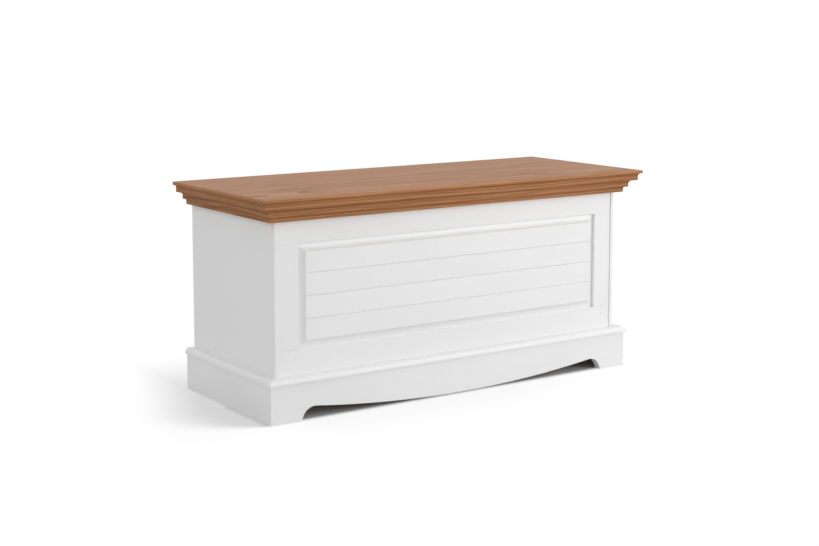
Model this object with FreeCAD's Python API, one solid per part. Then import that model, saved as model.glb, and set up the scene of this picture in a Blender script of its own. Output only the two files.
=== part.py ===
"""Blanket chest: framed and boarded front, moulded lid, shaped plinth.

Millimetres. +Z is up and the floor is z = 0. The front faces -Y and +X is to the right
of someone who stands in front. The origin is the middle of the closed chest's footprint.
"""

import FreeCAD, Part
import math
import os

Vector = FreeCAD.Vector
RIGHT = Vector(1, 0, 0)
REAR = Vector(0, 1, 0)
UP = Vector(0, 0, 1)
CENTRE = Vector(0, 0, 0)

# ---------------------------------------------------------------- driving dimensions

# Carcase
carcase_width = 1000.0      # over the side panels
carcase_depth = 393.0       # front edges of the side panels to the back
carcase_height = 482.0      # floor to the rim
side_thickness = 18.0
side_rise = 20.0            # floor to the lower edge of the side panels and the back
corner_lip = 12.0           # front edge of a side panel that shows beside the frame
corner_round = 6.0          # rounded front corners of the carcase
lip_round = 1.5             # inner edge of the lip, at its joint with the frame

# Front frame
frame_setback = 2.5         # frame face behind the front edges of the side panels
frame_thickness = 20.0
frame_rise = 45.0           # floor to the bottom rail
sill_height = 158.0         # floor to the bottom of the panel opening
head_height = 398.5         # floor to the top of the panel opening
stile_width = 52.0
opening_round = 1.0         # eased arris round the panel opening
joint_chamfer = 0.8         # eased ends of the stiles and outer edges of the frame
groove_setback = 7.5        # frame face to the panel groove
groove_width = 6.0
groove_depth = 9.0

# Raised panel of horizontal boards
field_proud = 2.0           # field in front of the frame face
raise_margin = 19.5         # opening to the field: a flat ledge, then a cove
ledge_width = 2.5
panel_play = 1.5            # room for movement at the bottom of the groove
board_cover = 52.0          # distance between two V grooves
board_count = 4
vee_depth = 1.2
board_gap = 0.3             # between the shoulders of two boards
tongue_thickness = 4.0
tongue_length = 5.0

# Back
back_thickness = 18.0
back_top_rail_height = 82.0
back_bottom_rail_height = 130.0
back_panel_thickness = 9.0
back_groove_depth = 8.0

# Floor of the chest
floor_height = 84.0         # floor of the room to the top of the chest's own floor
floor_thickness = 12.0
floor_board_count = 4
floor_play = 1.0            # round the edge of the floor boards
bearer_size = 20.0

# Plinth
plinth_thickness = 20.0
plinth_height = 85.0        # boards, without the moulded cap
cap_height = 17.0
cap_ledge = 16.5            # flat top of the cap
cap_nose = 4.5              # nose of the cap in front of the plinth boards
cap_undercut = 2.5          # height of the hollow under the nose
cap_tip = 3.5               # flat of the nose
foot_inner = 441.0          # middle of the front to the inner edge of a foot
foot_round = 34.0
foot_round_drop = 3.0       # centre of the foot's round below the floor
drop_clearance = 4.5        # floor to the lowest point of the apron's middle
corner_block_size = 40.0
corner_block_clearance = 2.0

# Lid
lid_overhang = 50.0         # beyond the carcase at the front and the sides
lid_thickness = 25.0
lid_gap = 1.0               # rim to the lid's underside, kept by the pads
lid_board_count = 4
nosing_height = 7.5
nosing_round = 3.0
edge_cove = 7.5             # hollow under the nosing
edge_step = 1.0             # hollow to the nosing's face
pad_size = 10.0
pad_inset = 22.0            # pad centre from the outside of a side panel
batten_width = 50.0
batten_thickness = 18.0
batten_inset = 210.0        # outside of a side panel to the middle of a batten
batten_clearance = 10.0     # batten ends to the inside of the carcase
batten_end_bevel = 8.0

# Cornice under the lid, from its lower edge up
cornice_clearance = 1.5     # to the carcase
lower_fillet = 7.0
lower_fillet_out = 15.0     # how far it stands out from the carcase
lower_cove_width = 6.0
lower_cove_height = 6.5
middle_fillet = 9.0
middle_fillet_out = 24.5
upper_cove_height = 7.5
upper_fillet = 1.0
upper_fillet_out = 38.0

# Hinges
hinge_inset = 150.0         # outside of a side panel to the middle of the nearest hinge
hinge_length = 75.0
leaf_depth = 22.0
leaf_thickness = 1.8
barrel_radius = 4.0
barrel_clearance = 0.3      # barrel to the wood
pin_radius = 2.0
running_clearance = 0.06    # radial, pins and studs in what turns on them
knuckle_count = 5
knuckle_gap = 0.3

# Jointed stays, one at each end
open_angle = 95.0           # where the stays stop the lid
lid_pivot_reach = 200.0     # hinge axis to the pivot on the lid, forwards
lid_pivot_drop = 14.0       # and downwards
base_pivot_reach = 40.0     # hinge axis to the pivot on the side panel, forwards
base_pivot_drop = 150.0     # and downwards
arm_thickness = 2.5
lower_arm_half_width = 8.0
upper_arm_half_width = 7.0
layer_gap = 0.3
plate_thickness = 3.0
plate_half_width = 12.0
plate_length = 64.0
stud_radius = 3.0
stud_head_radius = 6.0
stud_head_thickness = 1.5
elbow_clearance = 0.3       # radial, in the pivot between the two arms
lug_radius = 2.5
lug_reach = 18.0            # elbow to the stop lug, along the lower arm
lug_clearance = 0.3         # upper arm to the lug, with the lid fully open
arm_tail = 16.0             # lower arm beyond the elbow
flange_depth = 30.0
flange_thickness = 2.5

# ---------------------------------------------------------------- derived places

half_width = carcase_width / 2
overall_depth = lid_overhang + carcase_depth + 2 * barrel_radius + barrel_clearance
front = lid_overhang - overall_depth / 2
back = front + carcase_depth
frame_half_width = half_width - corner_lip
opening_half_width = frame_half_width - stile_width
inside_half_width = half_width - side_thickness
frame_front = front + frame_setback
inside_front = frame_front + frame_thickness
inside_back = back - back_thickness
lid_underside = carcase_height + lid_gap
lid_top = lid_underside + lid_thickness
lid_half_width = half_width + lid_overhang
lid_front = front - lid_overhang
hinge_y = back + barrel_radius + barrel_clearance
hinge_z = carcase_height + lid_gap / 2
hinge_centres = (hinge_inset - half_width, 0.0, half_width - hinge_inset)
run_over = 100.0            # cutting bodies reach this far past what they cut
same_place = 1e-6           # two points closer than this are one


# ---------------------------------------------------------------- helpers

def box(x_low, x_high, y_low, y_high, z_low, z_high):
    """Block between two opposite corners."""
    size = (x_high - x_low, y_high - y_low, z_high - z_low)
    return Part.makeBox(*size, Vector(x_low, y_low, z_low))


def rod(radius, x_low, x_high, y, z):
    """Cylinder along X."""
    return Part.makeCylinder(radius, x_high - x_low, Vector(x_low, y, z), RIGHT)


def prism(path, origin, across, up, run):
    """Closed outline in the plane (across, up), drawn out along run.

    Each step of the path is an end point, or a pair (point on the arc, end point).
    """
    def at(point):
        return origin + across * point[0] + up * point[1]

    edges = []
    here = path[0]
    for step in path[1:] + path[:1]:
        if isinstance(step[0], tuple):
            through, end = step
            edges.append(Part.Arc(at(here), at(through), at(end)).toShape())
        else:
            end = step
            if end != here:
                edges.append(Part.LineSegment(at(here), at(end)).toShape())
        here = end
    return Part.Face(Part.Wire(edges)).extrude(run)


def bowed(start, end, rise):
    """Arc step from start to end; a positive rise bows it to the left of the way."""
    chord = (end[0] - start[0], end[1] - start[1])
    middle = ((start[0] + end[0]) / 2, (start[1] + end[1]) / 2)
    return ((middle[0] - chord[1] * rise, middle[1] + chord[0] * rise), end)


def arc_rise(along, aside):
    """Rise over chord of an arc that sets out one way and ends this far along and aside."""
    return math.tan(math.atan2(aside, along) / 2) / 2


quarter_round = arc_rise(1.0, 1.0)


def mirrored(shape):
    """The same piece for the other end of the chest."""
    return shape.mirror(CENTRE, RIGHT)


def upright_edges(shape, x, y):
    """Edges parallel to Z at one place in plan."""
    found = []
    for edge in shape.Edges:
        ends = [vertex.Point for vertex in edge.Vertexes]
        if all(abs(p.x - x) < same_place and abs(p.y - y) < same_place for p in ends):
            found.append(edge)
    return found


def joined(shapes):
    """One solid from pieces that touch or overlap."""
    return shapes[0].fuse(shapes[1:]).removeSplitter()


def mitred_run(path, side):
    """Length of moulding outside the carcase, mitred at the front corners.

    The path is (distance out from the carcase, height).
    """
    reach = 2 * lid_overhang
    long = half_width + reach
    if side == "front":
        blank = prism(path, Vector(-long, front, 0), -REAR, UP, RIGHT * 2 * long)
        plan = [(-half_width, 0), (half_width, 0), (long, reach), (-long, reach)]
        keep = prism(plan, Vector(0, front, -run_over), RIGHT, -REAR, UP * 2 * carcase_height)
        return blank.common(keep)
    blank = prism(path, Vector(half_width, back, 0), RIGHT, UP, -REAR * (carcase_depth + reach))
    plan = [(0, 0), (reach, reach), (reach, -carcase_depth), (0, -carcase_depth)]
    keep = prism(plan, Vector(half_width, front, -run_over), RIGHT, -REAR, UP * 2 * carcase_height)
    piece = blank.common(keep)
    return piece if side == "right" else mirrored(piece)


def tongued_boards(blank, joints, face, tongue_low):
    """Cut a blank into boards that lie above each other, tongued and V-jointed.

    face is the y of the shown face and tongue_low the y where the tongues begin.
    """
    limits = blank.BoundBox
    x_low, x_high = limits.XMin - run_over, limits.XMax + run_over
    y_low, y_high = limits.YMin - run_over, limits.YMax + run_over
    tongue_high = tongue_low + tongue_thickness
    vee = [(0, -vee_depth), (0, vee_depth), (vee_depth, 0)]
    for z in joints:
        blank = blank.cut(prism(vee, Vector(x_low, face, z), REAR, UP, RIGHT * (x_high - x_low)))
    edges = [limits.ZMin - run_over] + list(joints) + [limits.ZMax + run_over]
    boards = []
    for low, high in zip(edges[:-1], edges[1:]):
        region = box(x_low, x_high, y_low, y_high, low + board_gap / 2, high - board_gap / 2)
        board = blank.common(region)
        if high != edges[-1]:
            tongue = box(x_low, x_high, tongue_low, tongue_high,
                         high - tongue_length, high + tongue_length)
            board = joined([board, blank.common(tongue)])
        if low != edges[0]:
            slot_top = low + tongue_length + board_gap
            board = board.cut(box(x_low, x_high, tongue_low, tongue_high, low, slot_top))
        boards.append(board)
    return boards


# ---------------------------------------------------------------- carcase

def side_panel():
    """Right side panel, rebated for the front frame and the back."""
    panel = box(inside_half_width, half_width, front, back, side_rise, carcase_height)
    panel = panel.makeFillet(corner_round, upright_edges(panel, half_width, front))
    for y_low, y_high in ((front, inside_front), (inside_back, back)):
        rebate = box(inside_half_width, frame_half_width, y_low, y_high, side_rise, carcase_height)
        panel = panel.cut(rebate)
    return panel.makeFillet(lip_round, upright_edges(panel, frame_half_width, front))


def front_frame():
    """Whole front frame as one piece, ready to be divided into rails and stiles.

    Behind the plinth it is thicker, flush with the front edges of the side panels.
    """
    frame = box(-frame_half_width, frame_half_width, frame_front, inside_front,
                frame_rise, carcase_height)
    opening = box(-opening_half_width, opening_half_width, frame_front, inside_front,
                  sill_height, head_height)
    frame = frame.cut(opening)
    arris = []
    for edge in frame.Edges:
        middle = edge.CenterOfMass
        inside = abs(middle.x) <= opening_half_width and sill_height <= middle.z <= head_height
        if inside and abs(middle.y - frame_front) < same_place:
            arris.append(edge)
    frame = frame.makeFillet(opening_round, arris)
    for x in (-frame_half_width, frame_half_width):
        frame = frame.makeChamfer(joint_chamfer, upright_edges(frame, x, frame_front))
    groove_half = opening_half_width + groove_depth
    groove_front = frame_front + groove_setback
    groove = box(-groove_half, groove_half, groove_front, groove_front + groove_width,
                 sill_height - groove_depth, head_height + groove_depth)
    foot = box(-frame_half_width, frame_half_width, front, inside_front,
               frame_rise, plinth_height + cap_height)
    return joined([frame.cut(groove), foot])


def front_rail(frame, low, high, grooved_edge):
    """Top or bottom rail, as long as the frame is wide, grooved along one edge."""
    rail = frame.common(box(-half_width, half_width, front, inside_front, low, high))
    groove_front = frame_front + groove_setback
    groove = box(-half_width, half_width, groove_front, groove_front + groove_width,
                 grooved_edge - groove_depth, grooved_edge + groove_depth)
    return rail.cut(groove)


def front_stile(frame):
    """Right stile, with stub tenons in the grooves of the rails."""
    body = frame.common(box(opening_half_width, half_width, frame_front, inside_front,
                            sill_height, head_height))
    for z, upwards in ((sill_height, 1), (head_height, -1)):
        chamfer = [(0, 0), (joint_chamfer, 0), (0, upwards * joint_chamfer)]
        body = body.cut(prism(chamfer, Vector(0, frame_front, z), REAR, UP, RIGHT * carcase_width))
    groove_front = frame_front + groove_setback
    tenon = box(opening_half_width + groove_depth, frame_half_width,
                groove_front, groove_front + groove_width,
                sill_height - groove_depth, head_height + groove_depth)
    return joined([body, tenon])


def panel_boards():
    """Raised panel with a cove round its field, divided into boards."""
    half = opening_half_width
    rear = groove_setback + groove_width
    reach = groove_depth - panel_play
    cove = arc_rise(raise_margin - ledge_width, groove_setback + field_proud)

    def section(low, high):
        """Across the panel: ledges, coves and field, as (place, depth behind the frame face)."""
        cove_low, cove_high = (low + ledge_width, groove_setback), (high - ledge_width, groove_setback)
        field_low, field_high = (low + raise_margin, -field_proud), (high - raise_margin, -field_proud)
        return [
            (low - reach, rear), (low - reach, groove_setback), cove_low,
            bowed(cove_low, field_low, cove), field_high, bowed(field_high, cove_high, cove),
            (high + reach, groove_setback), (high + reach, rear),
        ]

    along = prism(section(-half, half), Vector(0, frame_front, 0), RIGHT, REAR, UP * carcase_height)
    upright = prism(section(sill_height, head_height), Vector(-half_width, frame_front, 0),
                    UP, REAR, RIGHT * carcase_width)
    middle = (sill_height + head_height) / 2
    joints = [middle + board_cover * (i - board_count / 2) for i in range(1, board_count)]
    tongue_low = frame_front + groove_setback + (groove_width - tongue_thickness) / 2
    return tongued_boards(along.common(upright), joints, frame_front - field_proud, tongue_low)


def back_pieces():
    """Back rails and the panel in their grooves."""
    rail_top = side_rise + back_bottom_rail_height
    rail_low = carcase_height - back_top_rail_height
    middle = (inside_back + back) / 2
    panel_front = middle - back_panel_thickness / 2
    panel = box(-frame_half_width, frame_half_width, panel_front, panel_front + back_panel_thickness,
                rail_top - back_groove_depth, rail_low + back_groove_depth)
    bottom = box(-frame_half_width, frame_half_width, inside_back, back, side_rise, rail_top)
    top = box(-frame_half_width, frame_half_width, inside_back, back, rail_low, carcase_height)
    for x in hinge_centres:
        top = top.cut(leaf_plate(x, carcase_height - leaf_thickness))
    return {
        "back_bottom_rail": bottom.cut(panel),
        "back_top_rail": top.cut(panel),
        "back_panel": panel,
    }


def floor_boards():
    """Tongued boards of the chest's floor, laid from side to side."""
    length = inside_half_width - floor_play
    width = inside_back - inside_front - 2 * floor_play
    blank = box(-length, length, 0, floor_thickness, 0, width)
    joints = [width * i / floor_board_count for i in range(1, floor_board_count)]
    boards = tongued_boards(blank, joints, 0, (floor_thickness - tongue_thickness) / 2)
    for board in boards:
        board.rotate(CENTRE, RIGHT, -90)
        board.translate(Vector(0, inside_front + floor_play, floor_height))
    return boards


def bearers():
    """Four bearers under the floor boards."""
    top = floor_height - floor_thickness
    low = top - bearer_size
    front_inner = inside_front + bearer_size
    back_inner = inside_back - bearer_size
    half = inside_half_width
    right = box(half - bearer_size, half, front_inner, back_inner, low, top)
    return {
        "floor_bearer_front": box(-half, half, inside_front, front_inner, low, top),
        "floor_bearer_back": box(-half, half, back_inner, inside_back, low, top),
        "floor_bearer_right": right,
        "floor_bearer_left": mirrored(right),
    }


def rim_pads():
    """Four thin pads on the rim, under the lid."""
    half = pad_size / 2
    inset = half_width - pad_inset
    pads = []
    for y in (frame_front + frame_thickness / 2, back - back_thickness / 2):
        for x in (-inset, inset):
            pads.append(box(x - half, x + half, y - half, y + half, carcase_height, lid_underside))
    return Part.makeCompound(pads)


# ---------------------------------------------------------------- plinth

def front_apron():
    """Front plinth board, cut away to two feet and a shallow drop between them."""
    out = half_width + plinth_thickness
    crest_x = foot_inner - foot_round
    crest_z = foot_round - foot_round_drop
    foot_z = foot_round * (math.sqrt(2) / 2) - foot_round_drop
    foot_x = crest_x + foot_round * (math.sqrt(2) / 2)
    floor_x = crest_x + math.sqrt(foot_round ** 2 - foot_round_drop ** 2)
    outline = [
        (-out, 0), (-floor_x, 0), ((-foot_x, foot_z), (-crest_x, crest_z)),
        ((0, drop_clearance), (crest_x, crest_z)), ((foot_x, foot_z), (floor_x, 0)),
        (out, 0), (out, plinth_height), (-out, plinth_height),
    ]
    board = prism(outline, Vector(0, front, 0), RIGHT, UP, -REAR * plinth_thickness)
    return board.common(plinth_board("front"))


def plinth_board(side):
    """Straight plinth board, mitred at the front corners."""
    section = [(0, 0), (plinth_thickness, 0), (plinth_thickness, plinth_height), (0, plinth_height)]
    return mitred_run(section, side)


def plinth_cap(side):
    """Moulded cap that covers the top edge of the plinth boards."""
    top = plinth_height + cap_height
    tip = plinth_thickness + cap_nose
    tip_low = plinth_height + cap_undercut
    tip_high = tip_low + cap_tip
    ovolo = -arc_rise(top - tip_high, tip - cap_ledge)
    path = [
        (0, plinth_height), (plinth_thickness, plinth_height),
        bowed((plinth_thickness, plinth_height), (tip, tip_low), quarter_round),
        (tip, tip_high), bowed((tip, tip_high), (cap_ledge, top), ovolo), (0, top),
    ]
    return mitred_run(path, side)


def corner_block(z_low, z_high, y, direction):
    """Right triangular block in a corner of the carcase."""
    plan = [(0, 0), (-corner_block_size, 0), (0, corner_block_size)]
    corner = Vector(inside_half_width, y, z_low)
    return prism(plan, corner, RIGHT, REAR * direction, UP * (z_high - z_low))


# ---------------------------------------------------------------- lid

def lid_blank():
    """Lid board with a moulded edge at the front and both ends."""
    cove_top = lid_top - nosing_height
    cove_low = cove_top - edge_cove
    hollow_out = lid_overhang - edge_step
    square = hollow_out - edge_cove
    arris = lid_top - nosing_round
    inner = -2 * lid_half_width
    path = [
        (inner, lid_underside), (square, lid_underside), (square, cove_low),
        bowed((square, cove_low), (hollow_out, cove_top), quarter_round),
        (lid_overhang, cove_top), (lid_overhang, arris),
        bowed((lid_overhang, arris), (lid_overhang - nosing_round, lid_top), -quarter_round),
        (inner, lid_top),
    ]
    from_front = prism(path, Vector(-lid_half_width, front, 0), -REAR, UP, RIGHT * 2 * lid_half_width)
    from_right = prism(path, Vector(half_width, lid_front, 0), RIGHT, UP, REAR * (back - lid_front))
    behind = box(-lid_half_width, lid_half_width, back, back + 2 * lid_half_width, 0, lid_top)
    return from_front.common(from_right).common(mirrored(from_right)).cut(behind)


def lid_boards():
    """Boards glued edge to edge; the rear one has pockets for the hinge leaves."""
    blank = lid_blank()
    cover = (back - lid_front) / lid_board_count
    boards = []
    for i in range(lid_board_count):
        low = lid_front + cover * i
        region = box(-lid_half_width, lid_half_width, low, low + cover, lid_underside, lid_top)
        boards.append(blank.common(region))
    for x in hinge_centres:
        boards[-1] = boards[-1].cut(leaf_plate(x, lid_underside))
    return boards


def cornice(side):
    """Stepped moulding under the edge of the lid."""
    heights = [lower_fillet, lower_cove_height, middle_fillet, upper_cove_height, upper_fillet]
    levels = [lid_underside - sum(heights[i:]) for i in range(len(heights))]
    low, cove_low, step, cove_high, fillet = levels
    lower_edge = lower_fillet_out + lower_cove_width
    path = [
        (cornice_clearance, low), (lower_fillet_out, low), (lower_fillet_out, cove_low),
        bowed((lower_fillet_out, cove_low), (lower_edge, step), quarter_round),
        (middle_fillet_out, step), (middle_fillet_out, cove_high),
        bowed((middle_fillet_out, cove_high), (upper_fillet_out, fillet), quarter_round),
        (upper_fillet_out, lid_underside), (cornice_clearance, lid_underside),
    ]
    return mitred_run(path, side)


def lid_batten():
    """Right cross batten under the lid, bevelled at both ends."""
    low = inside_front + batten_clearance
    high = inside_back - batten_clearance
    bottom = lid_underside - batten_thickness
    path = [
        (low, lid_underside), (low, lid_underside - batten_end_bevel),
        (low + batten_end_bevel, bottom), (high - batten_end_bevel, bottom),
        (high, lid_underside - batten_end_bevel), (high, lid_underside),
    ]
    start = Vector(half_width - batten_inset - batten_width / 2, 0, 0)
    return prism(path, start, REAR, UP, RIGHT * batten_width)


# ---------------------------------------------------------------- hinges

def leaf_plate(x, z):
    """Flat of a hinge leaf, let into the wood in front of the barrel."""
    start = x - hinge_length / 2
    return box(start, start + hinge_length, back - leaf_depth, back, z, z + leaf_thickness)


def hinge_leaf(x, z, own, bore):
    """Leaf with its own knuckles; own picks the even (0) or odd (1) places in the barrel."""
    pitch = (hinge_length + knuckle_gap) / knuckle_count
    pieces = [leaf_plate(x, z)]
    for i in range(own, knuckle_count, 2):
        low = x - hinge_length / 2 + pitch * i
        high = low + pitch - knuckle_gap
        pieces.append(box(low, high, back, hinge_y, z, z + leaf_thickness))
        pieces.append(rod(barrel_radius, low, high, hinge_y, hinge_z))
    leaf = joined(pieces)
    return leaf.cut(rod(bore, x - hinge_length, x + hinge_length, hinge_y, hinge_z))


def hinge_pin(x):
    """Pin as long as the barrel."""
    return rod(pin_radius, x - hinge_length / 2, x + hinge_length / 2, hinge_y, hinge_z)


# ---------------------------------------------------------------- lid stays (right-hand one)
#
# Hinge axis, lid pivot, elbow and base pivot are the corners of a parallelogram, so the
# lower arm always turns as far as the lid and the upper arm keeps its slope.

lid_pivot = (hinge_y - lid_pivot_reach, hinge_z - lid_pivot_drop)
base_pivot = (hinge_y - base_pivot_reach, hinge_z - base_pivot_drop)
elbow = (lid_pivot[0] - base_pivot_reach, lid_pivot[1] - base_pivot_drop)
plate_x = inside_half_width - plate_thickness
lower_arm_x = plate_x - layer_gap - arm_thickness
upper_arm_x = lower_arm_x - layer_gap - arm_thickness
bracket_x = lower_arm_x


def flat_bar(start, end, half_wide, x, thickness, tail=0.0):
    """Flat bar with round ends in a plane across X; tail carries it on past its end."""
    length = math.dist(start, end)
    across = Vector(0, end[0] - start[0], end[1] - start[1]) / length
    up = RIGHT.cross(across)
    far = length + tail
    path = [
        (0, -half_wide), (far, -half_wide), ((far + half_wide, 0), (far, half_wide)),
        (0, half_wide), ((-half_wide, 0), (0, -half_wide)),
    ]
    return prism(path, Vector(x, *start), across, up, RIGHT * thickness)


def stud(place, x_from, x_head):
    """Stud along X with a round head on its inner end; x_head is where the head begins."""
    shank = rod(stud_radius, x_head, x_from, *place)
    return [shank, rod(stud_head_radius, x_head - stud_head_thickness, x_head, *place)]


def pivot_hole(place, clearance):
    """Cutting body for a hole round a stud."""
    return rod(stud_radius + clearance, 0, half_width, *place)


def stay_base():
    """Plate on the side panel with the stud that carries the lower arm."""
    y, z = base_pivot
    plate = box(plate_x, inside_half_width, y - plate_half_width, y + plate_half_width,
                z - plate_length / 2, z + plate_length / 2)
    return joined([plate] + stud(base_pivot, plate_x, lower_arm_x - layer_gap))


def stay_lower_arm():
    """Lower arm with the elbow stud and the lug that stops the upper arm."""
    bar = flat_bar(base_pivot, elbow, lower_arm_half_width, lower_arm_x, arm_thickness, arm_tail)
    bar = bar.cut(pivot_hole(base_pivot, running_clearance))
    lug = rod(lug_radius, upper_arm_x, lower_arm_x, *stop_lug_place())
    return joined([bar, lug] + stud(elbow, lower_arm_x, upper_arm_x - layer_gap))


def stop_lug_place():
    """Place of the lug that meets the edge of the upper arm when the lid is fully open."""
    length = math.dist(base_pivot, elbow)
    along = ((elbow[0] - base_pivot[0]) / length, (elbow[1] - base_pivot[1]) / length)
    aside = (-along[1], along[0])
    upper = math.atan2(base_pivot_drop, base_pivot_reach)
    lower = math.atan2(along[1], along[0]) - math.radians(open_angle)
    bend = math.remainder(upper - lower, 2 * math.pi)
    contact = upper_arm_half_width + lug_radius + lug_clearance
    offset = (contact - lug_reach * math.sin(abs(bend))) / math.cos(bend)
    offset = -math.copysign(offset, bend)
    return (elbow[0] + along[0] * lug_reach + aside[0] * offset,
            elbow[1] + along[1] * lug_reach + aside[1] * offset)


def stay_upper_arm():
    """Upper arm, from the bracket on the lid to the elbow."""
    bar = flat_bar(lid_pivot, elbow, upper_arm_half_width, upper_arm_x, arm_thickness)
    bar = bar.cut(pivot_hole(lid_pivot, running_clearance))
    return bar.cut(pivot_hole(elbow, elbow_clearance))


def stay_lid_bracket():
    """Angle bracket under the lid with the stud that carries the upper arm."""
    y, z = lid_pivot
    outer = bracket_x + arm_thickness
    flange = box(outer - flange_depth, outer, y - plate_half_width, y + plate_half_width,
                 lid_underside - flange_thickness, lid_underside)
    tab_low = z - plate_half_width
    tab = prism(
        [(-plate_half_width, lid_underside), (-plate_half_width, z),
         ((0, tab_low), (plate_half_width, z)), (plate_half_width, lid_underside)],
        Vector(bracket_x, y, 0), REAR, UP, RIGHT * arm_thickness)
    return joined([flange, tab] + stud(lid_pivot, bracket_x, upper_arm_x - layer_gap))


# ---------------------------------------------------------------- all pieces

def numbered(name, shapes):
    """Pieces of one kind, numbered from 1."""
    return {f"{name}_{i}": shape for i, shape in enumerate(shapes, 1)}


def left_and_right(name, right):
    """A piece and its mirror image."""
    return {f"{name}_left": mirrored(right), f"{name}_right": right}


def chest():
    """Every piece by its name."""
    pieces = {}
    pieces.update(left_and_right("side_panel", side_panel()))
    frame = front_frame()
    pieces["front_bottom_rail"] = front_rail(frame, frame_rise, sill_height, sill_height)
    pieces["front_top_rail"] = front_rail(frame, head_height, carcase_height, head_height)
    pieces.update(left_and_right("front_stile", front_stile(frame)))
    pieces.update(numbered("panel_board", panel_boards()))
    pieces.update(back_pieces())
    pieces.update(numbered("floor_board", floor_boards()))
    pieces.update(bearers())
    pieces["rim_pads"] = rim_pads()
    pieces["plinth_apron"] = front_apron()
    pieces.update(left_and_right("plinth_side", plinth_board("right")))
    for side in ("front", "left", "right"):
        pieces[f"plinth_cap_{side}"] = plinth_cap(side)
        pieces[f"cornice_{side}"] = cornice(side)
    block = corner_block(corner_block_clearance, frame_rise, front, 1)
    pieces.update(left_and_right("corner_block_front", block))
    bearer_low = floor_height - floor_thickness - bearer_size
    block = corner_block(side_rise, bearer_low, inside_back, -1)
    pieces.update(left_and_right("corner_block_back", block))
    pieces.update(numbered("lid_board", lid_boards()))
    pieces.update(left_and_right("lid_batten", lid_batten()))
    carcase_leaf_z = carcase_height - leaf_thickness
    loose_bore = pin_radius + running_clearance
    carcase_leaves = [hinge_leaf(x, carcase_leaf_z, 0, pin_radius) for x in hinge_centres]
    lid_leaves = [hinge_leaf(x, lid_underside, 1, loose_bore) for x in hinge_centres]
    pieces.update(numbered("hinge_carcase_leaf", carcase_leaves))
    pieces.update(numbered("hinge_lid_leaf", lid_leaves))
    pieces.update(numbered("hinge_pin", [hinge_pin(x) for x in hinge_centres]))
    pieces.update(left_and_right("stay_base", stay_base()))
    pieces.update(left_and_right("stay_lower_arm", stay_lower_arm()))
    pieces.update(left_and_right("stay_upper_arm", stay_upper_arm()))
    pieces.update(left_and_right("stay_lid_bracket", stay_lid_bracket()))
    return pieces


os.makedirs("parts", exist_ok=True)
for node, shape in chest().items():
    shape.exportStep(f"parts/{node}.step")
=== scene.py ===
import math

import bpy
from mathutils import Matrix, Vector


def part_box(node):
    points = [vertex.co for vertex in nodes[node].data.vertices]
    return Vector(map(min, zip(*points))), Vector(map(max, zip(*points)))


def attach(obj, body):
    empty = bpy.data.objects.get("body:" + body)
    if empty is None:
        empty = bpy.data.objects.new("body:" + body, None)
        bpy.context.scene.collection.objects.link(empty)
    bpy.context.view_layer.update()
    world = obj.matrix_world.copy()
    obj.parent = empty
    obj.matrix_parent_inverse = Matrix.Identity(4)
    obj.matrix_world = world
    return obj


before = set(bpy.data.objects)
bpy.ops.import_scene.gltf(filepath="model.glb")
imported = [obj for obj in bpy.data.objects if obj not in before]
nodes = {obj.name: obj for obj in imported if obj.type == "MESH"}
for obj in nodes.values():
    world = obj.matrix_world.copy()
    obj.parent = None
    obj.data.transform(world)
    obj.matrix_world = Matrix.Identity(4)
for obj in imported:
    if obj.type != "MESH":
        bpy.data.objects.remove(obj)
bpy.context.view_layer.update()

MM = 0.001


# ------------------------------------------------------------------ helpers

def linear(hex_colour):
    """sRGB hex to the linear colour that a shader takes."""
    channels = [int(hex_colour[i:i + 2], 16) / 255 for i in (1, 3, 5)]
    return [c / 12.92 if c <= 0.04045 else ((c + 0.055) / 1.055) ** 2.4 for c in channels] + [1.0]


def connect(tree, node, inputs):
    """Set inputs to a number, a colour, a socket, or a node, whose first output is taken."""
    for key, value in inputs.items():
        if isinstance(value, bpy.types.Node):
            value = value.outputs[0]
        if isinstance(value, bpy.types.NodeSocket):
            tree.links.new(value, node.inputs[key])
        else:
            node.inputs[key].default_value = value


def add(tree, kind, inputs=None, stops=(), **settings):
    """Add a node with its settings and links.

    stops are (place, hex colour) on a colour ramp and (place, value) on a curve.
    """
    made = tree.nodes.new(kind)
    for name, value in settings.items():
        setattr(made, name, value)
    connect(tree, made, inputs or {})
    if kind == "ShaderNodeValToRGB":
        marks = made.color_ramp.elements
        while len(marks) < len(stops):
            marks.new(0.5)
        for mark, (place, colour) in zip(marks, stops):
            mark.position, mark.color = place, linear(colour)
    elif kind == "ShaderNodeFloatCurve":
        marks = made.mapping.curves[0].points
        while len(marks) < len(stops):
            marks.new(0.5, 0.5)
        for mark, stop in zip(marks, stops):
            mark.location = stop
        made.mapping.update()
    return made


def sums(tree, *terms, start=0.0):
    """Start plus each (value, weight) pair multiplied out."""
    total = start
    for value, weight in terms:
        total = add(tree, "ShaderNodeMath", {0: value, 1: weight, 2: total}, operation="MULTIPLY_ADD")
    return total


def new_material(name):
    """Empty material with its tree and its shader."""
    material = bpy.data.materials.new(name)
    material.use_nodes = True
    tree = material.node_tree
    tree.nodes.clear()
    shader = add(tree, "ShaderNodeBsdfPrincipled")
    add(tree, "ShaderNodeOutputMaterial", {"Surface": shader})
    return material, tree, shader


def background_rays(tree):
    """1 for what looks at the background: the camera, and what metal reflects."""
    ray = add(tree, "ShaderNodeLightPath").outputs
    seen = ray["Is Camera Ray"]
    for name in ("Is Glossy Ray", "Is Transmission Ray"):
        seen = add(tree, "ShaderNodeMath", {0: seen, 1: ray[name]}, operation="MAXIMUM")
    return seen


# ------------------------------------------------------------------ wood

GRAIN_TURN = {"x": (0, 0, 0), "y": (0, 0, -math.pi / 2), "z": (0, math.pi / 2, 0)}


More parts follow.
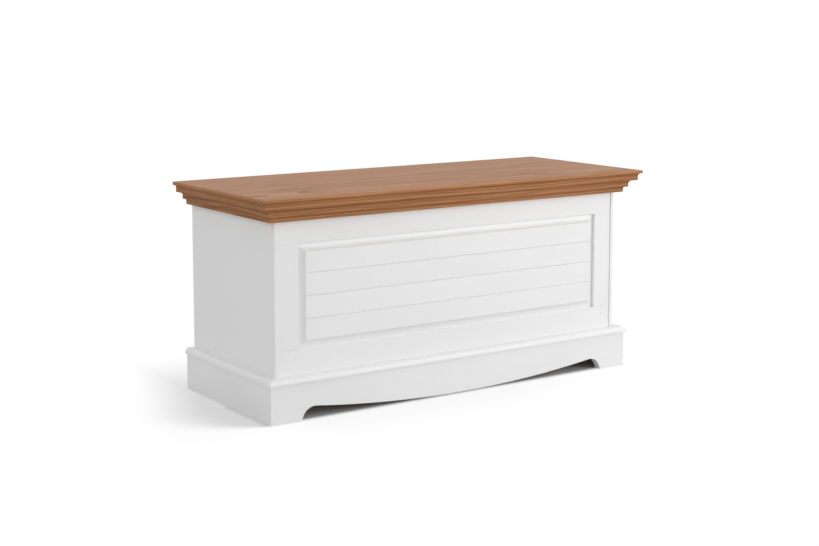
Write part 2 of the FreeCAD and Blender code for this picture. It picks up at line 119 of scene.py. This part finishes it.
def grain_space(tree, grain, start):
    """Place in the board in millimetres, with the grain along the first axis."""
    return add(tree, "ShaderNodeMapping", {
        "Vector": add(tree, "ShaderNodeTexCoord").outputs["Object"],
        "Scale": (1 / MM,) * 3, "Rotation": GRAIN_TURN[grain], "Location": start})


def mottling(tree, place, cell, detail=2.0, roughness=0.5):
    """Irregular light and dark, from 0 to 1, in patches of the given size in millimetres."""
    counted = add(tree, "ShaderNodeVectorMath", {0: place, 1: [1 / size for size in cell]},
                  operation="MULTIPLY")
    return add(tree, "ShaderNodeTexNoise", {
        "Vector": counted, "Scale": 1.0, "Detail": detail, "Roughness": roughness})


# Yearly rings of pine are 2 to 4 mm wide. They are drawn 7.5 mm wide, as coarse as they need
# to be to show, round a heart that wanders from side to side along the log.
RING_WIDTH = 7.5
HEART_WANDER = 34.0                 # width of the band that the heart keeps to
HEART_BENDS = (520, 95, 95)         # how far apart its bends are, along the log and across it
WAVE_LENGTH = 2 * math.pi / 20      # of a wave texture whose scale is 1
LATE_WOOD_SHARPNESS = 2.2           # the higher, the thinner the dark late line of a ring


def growth_rings(tree, place):
    """Yearly rings round the grain axis: soft early wood, then a sharp late line."""
    drift = mottling(tree, place, HEART_BENDS).outputs["Color"]
    centred = add(tree, "ShaderNodeVectorMath", {0: drift, 1: (0.5, 0.5, 0.5)},
                  operation="SUBTRACT")
    shift = add(tree, "ShaderNodeVectorMath", {0: centred, 1: (0.0, HEART_WANDER, HEART_WANDER)},
                operation="MULTIPLY")
    moved = add(tree, "ShaderNodeVectorMath", {0: place, 1: shift}, operation="ADD")
    saw = add(tree, "ShaderNodeTexWave", {
        "Vector": moved, "Scale": WAVE_LENGTH / RING_WIDTH, "Distortion": 0.0},
        wave_type="RINGS", rings_direction="X", wave_profile="SAW")
    return add(tree, "ShaderNodeMath", {0: saw.outputs["Fac"], 1: LATE_WOOD_SHARPNESS},
               operation="POWER")


def face_or_end(tree, grain, face, end):
    """One value on the long faces of a board and another on its sawn ends.

    A slanting face is between the two where 0.6 to 0.9 of its direction is along the grain.
    """
    facing = add(tree, "ShaderNodeSeparateXYZ", {0: add(tree, "ShaderNodeTexCoord").outputs["Normal"]})
    along = add(tree, "ShaderNodeMath", {0: facing.outputs[grain.upper()]}, operation="ABSOLUTE")
    return add(tree, "ShaderNodeMapRange", {
        "Value": along, "From Min": 0.6, "From Max": 0.9, "To Min": face, "To Max": end})


def wood(name, grain, start, stops, roughness, grain_depth,
         gloss=0.5, face_tone=0.0, end_tone=0.1, moulding_shade=0.0):
    """Softwood board: rings, fibres, a broad change of tone, and a satin film over them.

    A higher tone is darker. face_tone and end_tone add to it on the long faces and the sawn
    ends, and the last argument is how much painted shade darkens the hollows of the mouldings,
    by height, with their rounded upper edge left light as a painted highlight. grain_depth is
    in millimetres. Fibres are drawn 1.5 mm wide, because real ones are too fine to show.
    """
    material, tree, shader = new_material(name)
    place = grain_space(tree, grain, start)
    late = add(tree, "ShaderNodeMath", {
        0: growth_rings(tree, place), 1: face_or_end(tree, grain, 1.0, 0.35)}, operation="MULTIPLY")
    fibres = mottling(tree, place, (95, 1.5, 1.5), detail=4.0, roughness=0.62)
    streaks = mottling(tree, place, (260, 9, 9))
    broad = mottling(tree, place, (420, 120, 120), detail=1.0)
    tone = sums(tree, (late, 0.28), (fibres, 0.44), (streaks, 0.3), (broad, 0.28),
                (face_or_end(tree, grain, face_tone, end_tone), 1.0))
    # Painted shade in the hollows of the mouldings, left off their rounded upper edge as a painted
    # highlight.
    if moulding_shade:
        tone = sums(tree, (tone, 1.0), (painted_moulding_shade(tree), moulding_shade))
    height = sums(tree, (fibres, 0.7), (late, 0.3))
    connect(tree, shader, {
        "Base Color": add(tree, "ShaderNodeValToRGB", {"Fac": tone}, stops=stops),
        "Specular IOR Level": gloss,
        "Roughness": sums(tree, (fibres, 0.14), (late, 0.05), start=roughness),
        "Normal": add(tree, "ShaderNodeBump", {
            "Height": height, "Distance": grain_depth * MM, "Strength": 1.0})})
    return material


# How much painted shade darkens the stained wood at each height of the mouldings, in
# millimetres: most in the hollows, where shade falls, little on the flats and the lid's top,
# and none on the rounded upper edge, which is left light as a painted highlight.
MOULDING_SHADE_BY_HEIGHT = [(450.0, 0.64), (457.5, 0.43), (461.5, 1.0), (465.0, 0.93), (467.0, 0.36),
               (473.0, 0.29), (476.0, 0.86), (481.0, 1.0), (484.5, 0.5), (488.0, 0.29),
               (492.0, 0.36), (495.0, 0.86), (499.5, 0.9), (501.5, 0.4), (504.0, 0.0),
               (507.2, 0.0), (508.0, 0.46)]


def painted_moulding_shade(tree):
    """Share of painted shade by height on the closed lid: most in the mouldings' hollows, none on
    their upper edge, which is left light as a painted highlight.
    """
    place = add(tree, "ShaderNodeSeparateXYZ", {0: add(tree, "ShaderNodeTexCoord").outputs["Object"]})
    low, high = MOULDING_SHADE_BY_HEIGHT[0][0], MOULDING_SHADE_BY_HEIGHT[-1][0]
    risen = add(tree, "ShaderNodeMapRange", {
        "Value": place.outputs["Z"], "From Min": low * MM, "From Max": high * MM})
    stops = [((height - low) / (high - low), share) for height, share in MOULDING_SHADE_BY_HEIGHT]
    return add(tree, "ShaderNodeFloatCurve", {"Value": risen}, stops=stops)


# Pine, stained honey brown and lacquered satin. At a low angle the lacquer greys the stain.
HONEY_STAIN = [(0.30, "#CE9870"), (0.52, "#BC865E"), (0.72, "#A8744C"), (1.00, "#86583A")]
# Planed pine without a finish: pale, with warm late-wood lines.
PLANED_PINE = [(0.30, "#E6CFA6"), (0.55, "#DDBF90"), (0.75, "#CDA873"), (0.95, "#B98C58")]
# White lacquer, a shade greyer where it lies thin.
WHITE_LACQUER = [(0.30, "#F4F4F4"), (0.72, "#EFEFEF")]


def stained_pine(node_name, grain, start):
    """The mouldings at the ends are toned darker than the rest."""
    long_face_tone = 0.07 if node_name in ("cornice_left", "cornice_right") else -0.025
    # Painted shade in the mouldings' hollows, and a painted highlight on their upper edge, by height.
    return wood(f"stained_pine_{node_name}", grain, start, HONEY_STAIN, roughness=0.34,
                grain_depth=0.05, gloss=0.05, face_tone=long_face_tone, end_tone=0.10, moulding_shade=0.21)


def planed_pine(node_name, grain, start):
    """Left as it came from the plane: dry, so it hardly shines."""
    return wood(f"planed_pine_{node_name}", grain, start, PLANED_PINE, roughness=0.52,
                grain_depth=0.08)


def painted_pine(node_name, grain, start):
    """Pine under sprayed satin white lacquer: opaque, with the fibres just felt through it.

    Fibres are drawn 2.6 mm wide and the dimples of the spray 1.4 mm, so that they show.
    """
    material, tree, shader = new_material(f"painted_pine_{node_name}")
    place = grain_space(tree, grain, start)
    fibres = mottling(tree, place, (120, 2.6, 2.6), detail=3.0, roughness=0.55)
    broad = mottling(tree, place, (300, 160, 160), detail=1.0)
    spray = mottling(tree, place, (1.4, 1.4, 1.4))
    thinness = sums(tree, (fibres, 0.5), (broad, 0.5))
    height = sums(tree, (fibres, 0.8), (spray, 0.2))
    connect(tree, shader, {
        "Base Color": add(tree, "ShaderNodeValToRGB", {"Fac": thinness}, stops=WHITE_LACQUER),
        "Roughness": sums(tree, (fibres, 0.12), (broad, 0.08), (spray, 0.46)),
        "Normal": add(tree, "ShaderNodeBump", {
            "Height": height, "Distance": 0.04 * MM, "Strength": 1.0})})
    return material


# ------------------------------------------------------------------ metal and felt

def metal(name, bright, cloudy, dull):
    """Pressed and tumbled metal: two hex colours, its mean roughness, and rolling lines.

    The lines are drawn 0.6 mm wide, because real ones are too fine to show.
    """
    material, tree, shader = new_material(name)
    place = grain_space(tree, "x", (0, 0, 0))
    rolled = mottling(tree, place, (30, 0.6, 0.6), detail=3.0)
    smudge = mottling(tree, place, (14, 14, 14))
    line_share = 0.16
    connect(tree, shader, {
        "Base Color": add(tree, "ShaderNodeValToRGB", {"Fac": smudge},
                          stops=[(0.35, bright), (0.7, cloudy)]),
        "Metallic": 1.0,
        "Roughness": sums(tree, (rolled, line_share), (smudge, 2 * dull - line_share)),
        "Normal": add(tree, "ShaderNodeBump", {
            "Height": rolled, "Distance": 0.02 * MM, "Strength": 1.0})})
    return material


# Brass, pressed and lacquered: warm yellow with a soft sheen.
satin_brass = metal("satin_brass", "#CFAA66", "#BF9852", 0.30)
# Mild steel, bright zinc plated: cool pale grey, a little cloudy.
zinc_steel = metal("zinc_plated_steel", "#C3C6C9", "#B2B6BA", 0.33)
# Bottom of a cross recess: painted shade, drawn as dull steel near to black, because little light
# reaches it.
painted_recess_shade = metal("painted_shade_recess", "#3A3835", "#2B2A28", 0.6)


def wool_felt():
    """Pressed wool felt: matt, with a nap drawn 0.6 mm coarse, because fibres are too fine."""
    material, tree, shader = new_material("wool_felt")
    nap = mottling(tree, grain_space(tree, "x", (0, 0, 0)), (0.6, 0.6, 0.6), detail=4.0)
    connect(tree, shader, {
        "Base Color": add(tree, "ShaderNodeValToRGB", {"Fac": nap},
                          stops=[(0.3, "#CFCBC2"), (0.7, "#E1DED7")]),
        "Roughness": 0.95,
        "Sheen Weight": 0.3,
        "Normal": add(tree, "ShaderNodeBump", {
            "Height": nap, "Distance": 0.2 * MM, "Strength": 1.0})})
    return material


# ------------------------------------------------------------------ finishes for the CAD nodes

# Pieces whose grain runs from front to back, and pieces whose grain is upright. In the others
# it runs from side to side.
ACROSS = ("side_panel", "plinth_side", "plinth_cap_left", "plinth_cap_right", "cornice_left",
          "cornice_right", "lid_batten", "floor_bearer_left", "floor_bearer_right")
UPRIGHT = ("front_stile", "corner_block")


def grain_of(name):
    """Which way the grain runs in a board."""
    if name.startswith(UPRIGHT):
        return "z"
    return "y" if name.startswith(ACROSS) else "x"


def board_start(index):
    """Where in the log a board was cut, in millimetres, so that no two boards match."""
    return (index * 731.0 % 2900, 40.0 + index * 57.0 % 130, -90.0 - index * 83.0 % 150)


felt = wool_felt()
for index, name in enumerate(sorted(nodes)):
    if name.startswith("hinge"):
        finish = satin_brass
    elif name.startswith("stay"):
        finish = zinc_steel
    elif name == "rim_pads":
        finish = felt
    elif name.startswith(("lid", "cornice")):
        finish = stained_pine(name, grain_of(name), board_start(index))
    elif name.startswith(("floor", "corner_block")):
        finish = planed_pine(name, grain_of(name), board_start(index))
    else:
        finish = painted_pine(name, grain_of(name), board_start(index))
    mesh = nodes[name].data
    mesh.materials.clear()
    mesh.materials.append(finish)


# ------------------------------------------------------------------ screws and pins

def fastener_tree():
    """Low domed heads at the points, each turned its own way, with or without a cross recess."""
    tree = bpy.data.node_groups.new("fastener_heads", "GeometryNodeTree")
    for name, kind in (
            ("Points", "Geometry"), ("Head Diameter", "Float"), ("Head Rise", "Float"),
            ("Recess Span", "Float"), ("Recess Width", "Float"), ("Recess Floor", "Float"),
            ("Seed", "Int"), ("Head Metal", "Material"), ("Recess Shade", "Material")):
        tree.interface.new_socket(name, in_out="INPUT", socket_type="NodeSocket" + kind)
    tree.interface.new_socket("Heads", in_out="OUTPUT", socket_type="NodeSocketGeometry")
    given = add(tree, "NodeGroupInput").outputs

    # The dome is a ball with its lower half pressed flat and its upper half squat.
    radius = add(tree, "ShaderNodeMath", {0: given["Head Diameter"], 1: 0.5}, operation="MULTIPLY")
    ball = add(tree, "GeometryNodeMeshUVSphere", {"Segments": 16, "Rings": 10, "Radius": radius})
    place = add(tree, "ShaderNodeSeparateXYZ", {0: add(tree, "GeometryNodeInputPosition")}).outputs
    above = add(tree, "ShaderNodeMath", {0: place["Z"], 1: 0.0}, operation="MAXIMUM")
    squat = add(tree, "ShaderNodeMath", {0: given["Head Rise"], 1: radius}, operation="DIVIDE")
    level = add(tree, "ShaderNodeMath", {0: above, 1: squat}, operation="MULTIPLY")
    dome = add(tree, "GeometryNodeSetPosition", {
        "Geometry": add(tree, "GeometryNodeSetShadeSmooth", {0: ball}),
        "Position": add(tree, "ShaderNodeCombineXYZ", {
            "X": place["X"], "Y": place["Y"], "Z": level})})

    # Two bars at right angles cut the cross, down to the recess floor.
    tall = add(tree, "ShaderNodeMath", {0: given["Head Rise"], 1: 2.0}, operation="MULTIPLY")
    middle = add(tree, "ShaderNodeMath", {0: given["Head Rise"], 1: given["Recess Floor"]})
    lift = add(tree, "ShaderNodeCombineXYZ", {"Z": middle})
    cutter = add(tree, "GeometryNodeMeshBoolean", {0: dome}, operation="DIFFERENCE")
    for along, across in (("Recess Span", "Recess Width"), ("Recess Width", "Recess Span")):
        size = add(tree, "ShaderNodeCombineXYZ", {"X": given[along], "Y": given[across], "Z": tall})
        bar = add(tree, "GeometryNodeMeshCube", {"Size": size})
        connect(tree, cutter, {
            1: add(tree, "GeometryNodeTransform", {"Geometry": bar, "Translation": lift})})
    recessed = add(tree, "FunctionNodeCompare", {0: given["Recess Width"], 1: 0.0},
                   operation="GREATER_THAN")
    head = add(tree, "GeometryNodeSwitch", {"Switch": recessed, "False": dome, "True": cutter})

    # The faces at the bottom of the cross are marked, to get the painted shade of the recess: they lie
    # no higher than a hair above its floor, and look upwards within 11 degrees.
    just_above = add(tree, "ShaderNodeMath", {0: given["Recess Floor"], 1: 1.05},
                     operation="MULTIPLY")
    low_down = add(tree, "FunctionNodeCompare", {0: place["Z"], 1: just_above},
                   operation="LESS_THAN")
    facing_up = add(tree, "ShaderNodeSeparateXYZ", {0: add(tree, "GeometryNodeInputNormal")})
    flat = add(tree, "FunctionNodeCompare", {0: facing_up.outputs["Z"], 1: 0.98},
               operation="GREATER_THAN")
    bottom = add(tree, "FunctionNodeBooleanMath", {0: low_down, 1: flat}, operation="AND")
    marked = add(tree, "GeometryNodeStoreNamedAttribute", {
        "Geometry": head, "Name": "recess", "Value": bottom}, data_type="BOOLEAN", domain="FACE")

    # Each head looks the way of its point, at a turn of its own.
    facing = add(tree, "GeometryNodeInputNamedAttribute", {"Name": "facing"},
                 data_type="FLOAT_VECTOR")
    aimed = add(tree, "FunctionNodeAlignRotationToVector", {"Vector": facing}, axis="Z")
    turn = add(tree, "FunctionNodeRandomValue", {2: 0.0, 3: math.pi / 2, "Seed": given["Seed"]})
    spin = add(tree, "FunctionNodeAxisAngleToRotation", {
        "Axis": (0, 0, 1), "Angle": turn.outputs[1]})
    rotation = add(tree, "FunctionNodeRotateRotation", {0: aimed, 1: spin}, rotation_space="LOCAL")
    heads = add(tree, "GeometryNodeInstanceOnPoints", {
        "Points": given["Points"], "Instance": marked, "Rotation": rotation})
    real = add(tree, "GeometryNodeRealizeInstances", {0: heads})
    metalled = add(tree, "GeometryNodeSetMaterial", {
        "Geometry": real, "Material": given["Head Metal"]})
    in_recess = add(tree, "GeometryNodeInputNamedAttribute", {"Name": "recess"},
                    data_type="BOOLEAN")
    add(tree, "NodeGroupOutput", {"Heads": add(tree, "GeometryNodeSetMaterial", {
        "Geometry": metalled, "Selection": in_recess, "Material": given["Recess Shade"]})})
    return tree


FASTENER_TREE = fastener_tree()

# Sizes of the heads, in millimetres.
# Brass countersunk screws, 4 mm, with raised heads, for the hinge leaves.
BRASS_SCREW = {"Head Diameter": 7.0, "Head Rise": 0.3, "Recess Span": 4.2, "Recess Width": 0.9,
               "Recess Floor": 0.08, "Head Metal": satin_brass}
# Zinc plated countersunk screws for the plates that the stays' lower arms pass over.
PLATE_SCREW = {**BRASS_SCREW, "Head Rise": 0.2, "Recess Floor": 0.06, "Head Metal": zinc_steel}
# Zinc plated pan head screws for the lid's brackets and its battens.
PAN_SCREW = {"Head Diameter": 7.6, "Head Rise": 2.2, "Recess Span": 4.4, "Recess Width": 1.0,
             "Recess Floor": 0.5, "Head Metal": zinc_steel}
# Bright panel pins, driven home in the floor boards. They have no recess.
PANEL_PIN = {"Head Diameter": 2.8, "Head Rise": 0.25, "Recess Width": 0.0, "Head Metal": zinc_steel}


def fasteners(name, body, kind, facing, places, seed):
    """One mesh of heads that look the way of facing; places are in metres."""
    mesh = bpy.data.meshes.new(name)
    mesh.from_pydata(places, [], [])
    ways = mesh.attributes.new("facing", "FLOAT_VECTOR", "POINT")
    ways.data.foreach_set("vector", list(facing) * len(places))
    points = bpy.data.objects.new(name + "_points", mesh)
    bpy.context.scene.collection.objects.link(points)
    heads = points.modifiers.new("heads", "NODES")
    heads.node_group = FASTENER_TREE
    values = {**kind, "Seed": seed, "Recess Shade": painted_recess_shade}
    for socket in FASTENER_TREE.interface.items_tree:
        value = values.get(socket.name)
        if value is not None:
            in_metres = socket.socket_type == "NodeSocketFloat"
            heads[socket.identifier] = value * MM if in_metres else value
    evaluated = points.evaluated_get(bpy.context.evaluated_depsgraph_get())
    piece = bpy.data.objects.new(name, bpy.data.meshes.new_from_object(evaluated))
    bpy.data.objects.remove(points)
    bpy.context.scene.collection.objects.link(piece)
    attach(piece, body)


UP, DOWN = (0, 0, 1), (0, 0, -1)
HINGES = (1, 2, 3)
BOARDS = (1, 2, 3, 4)           # in the lid, and in the chest's floor
rim_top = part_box("side_panel_left")[1][2]
lid_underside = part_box("lid_board_1")[0][2]

LEAF_SCREW_STEP = 27 * MM       # along a hinge leaf, from the middle screw to the outer ones
OUTER_SCREW_IN = 13 * MM        # from the free edge of the leaf
MIDDLE_SCREW_IN = 7 * MM


def hinge_screw_places(z):
    """Three to a leaf, the middle one nearer the free edge."""
    places = []
    for i in HINGES:
        low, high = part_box(f"hinge_lid_leaf_{i}")
        middle = (low[0] + high[0]) / 2
        places += [(middle - LEAF_SCREW_STEP, low[1] + OUTER_SCREW_IN, z),
                   (middle, low[1] + MIDDLE_SCREW_IN, z),
                   (middle + LEAF_SCREW_STEP, low[1] + OUTER_SCREW_IN, z)]
    return places


fasteners("hinge_screws_carcase", "carcase", BRASS_SCREW, UP,
          hinge_screw_places(rim_top), seed=3)
fasteners("hinge_screws_lid", "lid", BRASS_SCREW, DOWN,
          hinge_screw_places(lid_underside), seed=5)

PLATE_THICKNESS = 3 * MM        # the stay's plate on the side panel
PLATE_SCREW_IN = 8 * MM         # from the plate's upper and lower ends
for side, inwards in (("left", 1), ("right", -1)):
    low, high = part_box(f"stay_base_{side}")
    face = low[0] + PLATE_THICKNESS if side == "left" else high[0] - PLATE_THICKNESS
    middle = (low[1] + high[1]) / 2
    ends = [(face, middle, low[2] + PLATE_SCREW_IN), (face, middle, high[2] - PLATE_SCREW_IN)]
    fasteners(f"stay_screws_{side}", "carcase", PLATE_SCREW, (inwards, 0, 0), ends,
              seed=7)

FLANGE_THICKNESS = 2.5 * MM     # the stay's flange on the lid
FLANGE_SCREW_IN = 9 * MM        # from the flange's free edge
FLANGE_SCREW_STEP = 6.5 * MM    # each side of the flange's middle
flange_places = []
for side in ("left", "right"):
    low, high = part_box(f"stay_lid_bracket_{side}")
    x = high[0] - FLANGE_SCREW_IN if side == "left" else low[0] + FLANGE_SCREW_IN
    middle = (low[1] + high[1]) / 2
    flange_places += [(x, middle + step, lid_underside - FLANGE_THICKNESS)
                      for step in (-FLANGE_SCREW_STEP, FLANGE_SCREW_STEP)]
fasteners("bracket_screws", "lid", PAN_SCREW, DOWN, flange_places, seed=11)

# One screw through the batten into each board of the lid, by turns right and left of its middle.
BATTEN_SCREW_STEP = 8 * MM
BATTEN_SCREW_IN = 12 * MM       # least distance from a batten's end
batten_places = []
for side in ("left", "right"):
    low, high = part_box(f"lid_batten_{side}")
    middle = (low[0] + high[0]) / 2
    for i in BOARDS:
        board_low, board_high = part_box(f"lid_board_{i}")
        near = max(board_low[1], low[1] + BATTEN_SCREW_IN)
        far = min(board_high[1], high[1] - BATTEN_SCREW_IN)
        step = BATTEN_SCREW_STEP if i % 2 else -BATTEN_SCREW_STEP
        batten_places.append((middle + step, (near + far) / 2, low[2]))
fasteners("batten_screws", "lid", PAN_SCREW, DOWN, batten_places, seed=13)

# Two pins at each end of a floor board, over the bearers.
PIN_IN = 9 * MM                 # from the board's end
PIN_STEP = 24 * MM              # each side of the board's middle
pin_places = []
for i in BOARDS:
    low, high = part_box(f"floor_board_{i}")
    middle = (low[1] + high[1]) / 2
    pin_places += [(x, middle + step, high[2])
                   for x in (low[0] + PIN_IN, high[0] - PIN_IN) for step in (-PIN_STEP, PIN_STEP)]
fasteners("floor_pins", "carcase", PANEL_PIN, UP, pin_places, seed=17)


# ------------------------------------------------------------------ floor

# All in metres.
FLOOR_REACH = 30.0
PLINTH_END = 0.52       # from the middle to the plinth's outer side
PLINTH_FRONT = -0.20    # where the plinth meets the floor in front
PLINTH_BACK = 0.20      # where it ends behind

# Shares of white.
WHITE_IN_FRONT = 0.87   # on the floor right before the plinth
WHITE_ON_LEFT = 0.965   # where the light passes the plinth's front left corner


def studio_floor():
    """Seamless paper: pale grey and matt. Away from the chest the camera sees it as plain white.

    The share of white rises away from the plinth: at once on the right and in front, where the
    light comes from, and slowly on the left and behind, where the shadow falls in a wedge. So
    the shadow's shape and edges are painted by this share; its darkness is the paper's own
    shading under the lamps.
    """
    mesh = bpy.data.meshes.new("floor")
    corners = [(x * FLOOR_REACH, y * FLOOR_REACH, 0) for x, y in ((-1, -1), (1, -1), (1, 1), (-1, 1))]
    mesh.from_pydata(corners, [], [(0, 1, 2, 3)])
    floor = bpy.data.objects.new("floor", mesh)
    bpy.context.scene.collection.objects.link(floor)
    material, tree, shader = new_material("seamless_paper")
    connect(tree, shader, {
        "Base Color": linear("#D6D6D6"), "Roughness": 1.0, "Specular IOR Level": 0.0})

    # How far a place lies out from the plinth; a gap is never below zero.
    place = add(tree, "ShaderNodeSeparateXYZ", {
        0: add(tree, "ShaderNodeTexCoord").outputs["Object"]}).outputs
    to_left = sums(tree, (place["X"], -1.0), start=-PLINTH_END)
    to_right = sums(tree, (place["X"], 1.0), start=-PLINTH_END)
    to_back = sums(tree, (place["Y"], 1.0), start=-PLINTH_BACK)
    left_gap, back_gap, behind = (
        add(tree, "ShaderNodeMath", {0: value, 1: 0.0}, operation="MAXIMUM")
        for value in (to_left, to_back, place["Y"]))
    beyond = to_left
    for value in (to_right, to_back):
        beyond = add(tree, "ShaderNodeMath", {0: beyond, 1: value}, operation="MAXIMUM")

    # The painted shadow deepens towards the plinth, and is longer backwards than to the left. It
    # lies between two painted slanting edges of light: one starts at the plinth's front left corner,
    # and one at its back right corner. Both get softer away from the plinth.
    into_shadow = sums(tree, (left_gap, 1.0), (behind, 0.43))
    left_slope = add(tree, "ShaderNodeMath", {
        0: sums(tree, (place["Y"], 1.0), start=-PLINTH_FRONT),
        1: add(tree, "ShaderNodeMath", {0: left_gap, 1: MM}, operation="MAXIMUM")},
        operation="DIVIDE")
    right_slope = add(tree, "ShaderNodeMath", {
        0: sums(tree, (to_right, 1.0), (back_gap, 0.7)),
        1: sums(tree, (back_gap, 0.5), start=0.01)}, operation="DIVIDE")

    # Smooth rises: what rises, where it starts, where it ends, and how high it gets.
    rise = {name: add(tree, "ShaderNodeMapRange", {
        "Value": value, "From Min": start, "From Max": end, "To Max": share},
        interpolation_type="SMOOTHSTEP") for name, value, start, end, share in (
            ("out of the contact shadow", into_shadow, -0.01, 0.02, 0.41),
            ("out of the wide shadow", into_shadow, 0.04, 0.25, 0.59),
            ("over the left edge", left_slope, 1.1, 0.1, 1.0),
            ("past the left end", to_left, -0.05, 0.015, 1.0),
            ("over the right edge", right_slope, 0.0, 1.0, 1.0),
            ("past the plinth", beyond, -0.01, 0.005, 1.0),
            ("past the front", place["Y"], -0.174, -0.203, 1.0),
            ("further forwards", place["Y"], -0.20, -0.40, 0.13),
            ("towards the left end", to_left, -0.12, 0.0, 0.10),
            ("towards the right end", to_right, -0.45, 0.0, 0.13))}

    shadow = sums(tree, (rise["out of the contact shadow"], 1.0),
                  (rise["out of the wide shadow"], 1.0))
    lit_left = add(tree, "ShaderNodeMath", {
        0: rise["over the left edge"], 1: rise["past the left end"]}, operation="MULTIPLY")
    lit = add(tree, "ShaderNodeMath", {
        0: add(tree, "ShaderNodeMath", {
            0: lit_left, 1: sums(tree, (shadow, -1.0), start=WHITE_ON_LEFT)}, operation="MULTIPLY"),
        1: add(tree, "ShaderNodeMath", {
            0: rise["over the right edge"], 1: sums(tree, (shadow, -1.0), start=1.0)},
            operation="MULTIPLY")}, operation="MAXIMUM")
    beside = add(tree, "ShaderNodeMath", {
        0: sums(tree, (shadow, 1.0), (lit, 1.0)), 1: rise["past the plinth"]},
        operation="MULTIPLY")
    before = add(tree, "ShaderNodeMath", {
        0: rise["past the front"],
        1: sums(tree, (rise["further forwards"], 1.0), (rise["towards the left end"], 1.0),
                (rise["towards the right end"], 1.0), start=WHITE_IN_FRONT)}, operation="MULTIPLY")
    whiteness = add(tree, "ShaderNodeMath", {0: beside, 1: before}, operation="MAXIMUM")
    seen_white = add(tree, "ShaderNodeMath", {0: whiteness, 1: background_rays(tree)},
                     operation="MULTIPLY")
    white = add(tree, "ShaderNodeEmission", {"Color": linear("#FFFFFF"), "Strength": 1.0})
    output = next(node for node in tree.nodes if node.type == "OUTPUT_MATERIAL")
    connect(tree, output, {
        "Surface": add(tree, "ShaderNodeMixShader", {0: seen_white, 1: shader, 2: white})})
    mesh.materials.append(material)


studio_floor()


# ------------------------------------------------------------------ light

MIDDLE = (0.0, 0.0, 0.25)       # metres, the point that the lamps look at
LAMP_WIDTH = 2.0                # metres


def soft_box(name, place, level):
    """Square lamp; level is how bright it alone shows white paint that faces it."""
    way = Vector(MIDDLE) - Vector(place)
    light = bpy.data.lights.new(name, "AREA")
    light.shape = "SQUARE"
    light.size = LAMP_WIDTH
    light.energy = level * math.pi ** 2 * way.length_squared
    lamp = bpy.data.objects.new(name, light)
    lamp.location = place
    lamp.rotation_euler = way.to_track_quat("-Z", "Y").to_euler()
    lamp.visible_camera = False
    bpy.context.scene.collection.objects.link(lamp)


soft_box("key", (2.24, -3.21, 1.08), 0.325)
soft_box("upper_right", (2.78, -1.29, 2.82), 0.12)
soft_box("left_fill", (-3.35, -0.90, 2.25), 0.11)
soft_box("back_fill", (0.00, 2.83, 3.08), 0.06)

SKY_LEVEL = 0.58        # the world's light on the chest; the camera sees it at 1, as white
world = bpy.data.worlds.new("white_studio")
bpy.context.scene.world = world
world.use_nodes = True
sky = world.node_tree
sky.nodes.clear()
sky_strength = add(sky, "ShaderNodeMapRange", {
    "Value": background_rays(sky), "To Min": SKY_LEVEL, "To Max": 1.0})
add(sky, "ShaderNodeOutputWorld", {"Surface": add(sky, "ShaderNodeBackground", {
    "Color": linear("#FFFFFF"), "Strength": sky_strength})})


# ------------------------------------------------------------------ camera

CAMERA_PLACE = (-2.1184, -3.0632, 0.9138)   # metres
CAMERA_HEADING = 34.466     # degrees from +Y towards +X
CAMERA_TILT = 6.806         # degrees below the horizon
CAMERA_LENS = 66.81         # millimetres
CAMERA_SHIFT = -0.10        # of the picture's width

lens = bpy.data.cameras.new("camera")
lens.lens = CAMERA_LENS
lens.shift_y = CAMERA_SHIFT
camera = bpy.data.objects.new("camera", lens)
camera.location = CAMERA_PLACE
camera.rotation_euler = (math.radians(90 - CAMERA_TILT), 0, math.radians(-CAMERA_HEADING))
bpy.context.scene.collection.objects.link(camera)
bpy.context.scene.camera = camera
bpy.context.scene.view_settings.view_transform = "Standard"
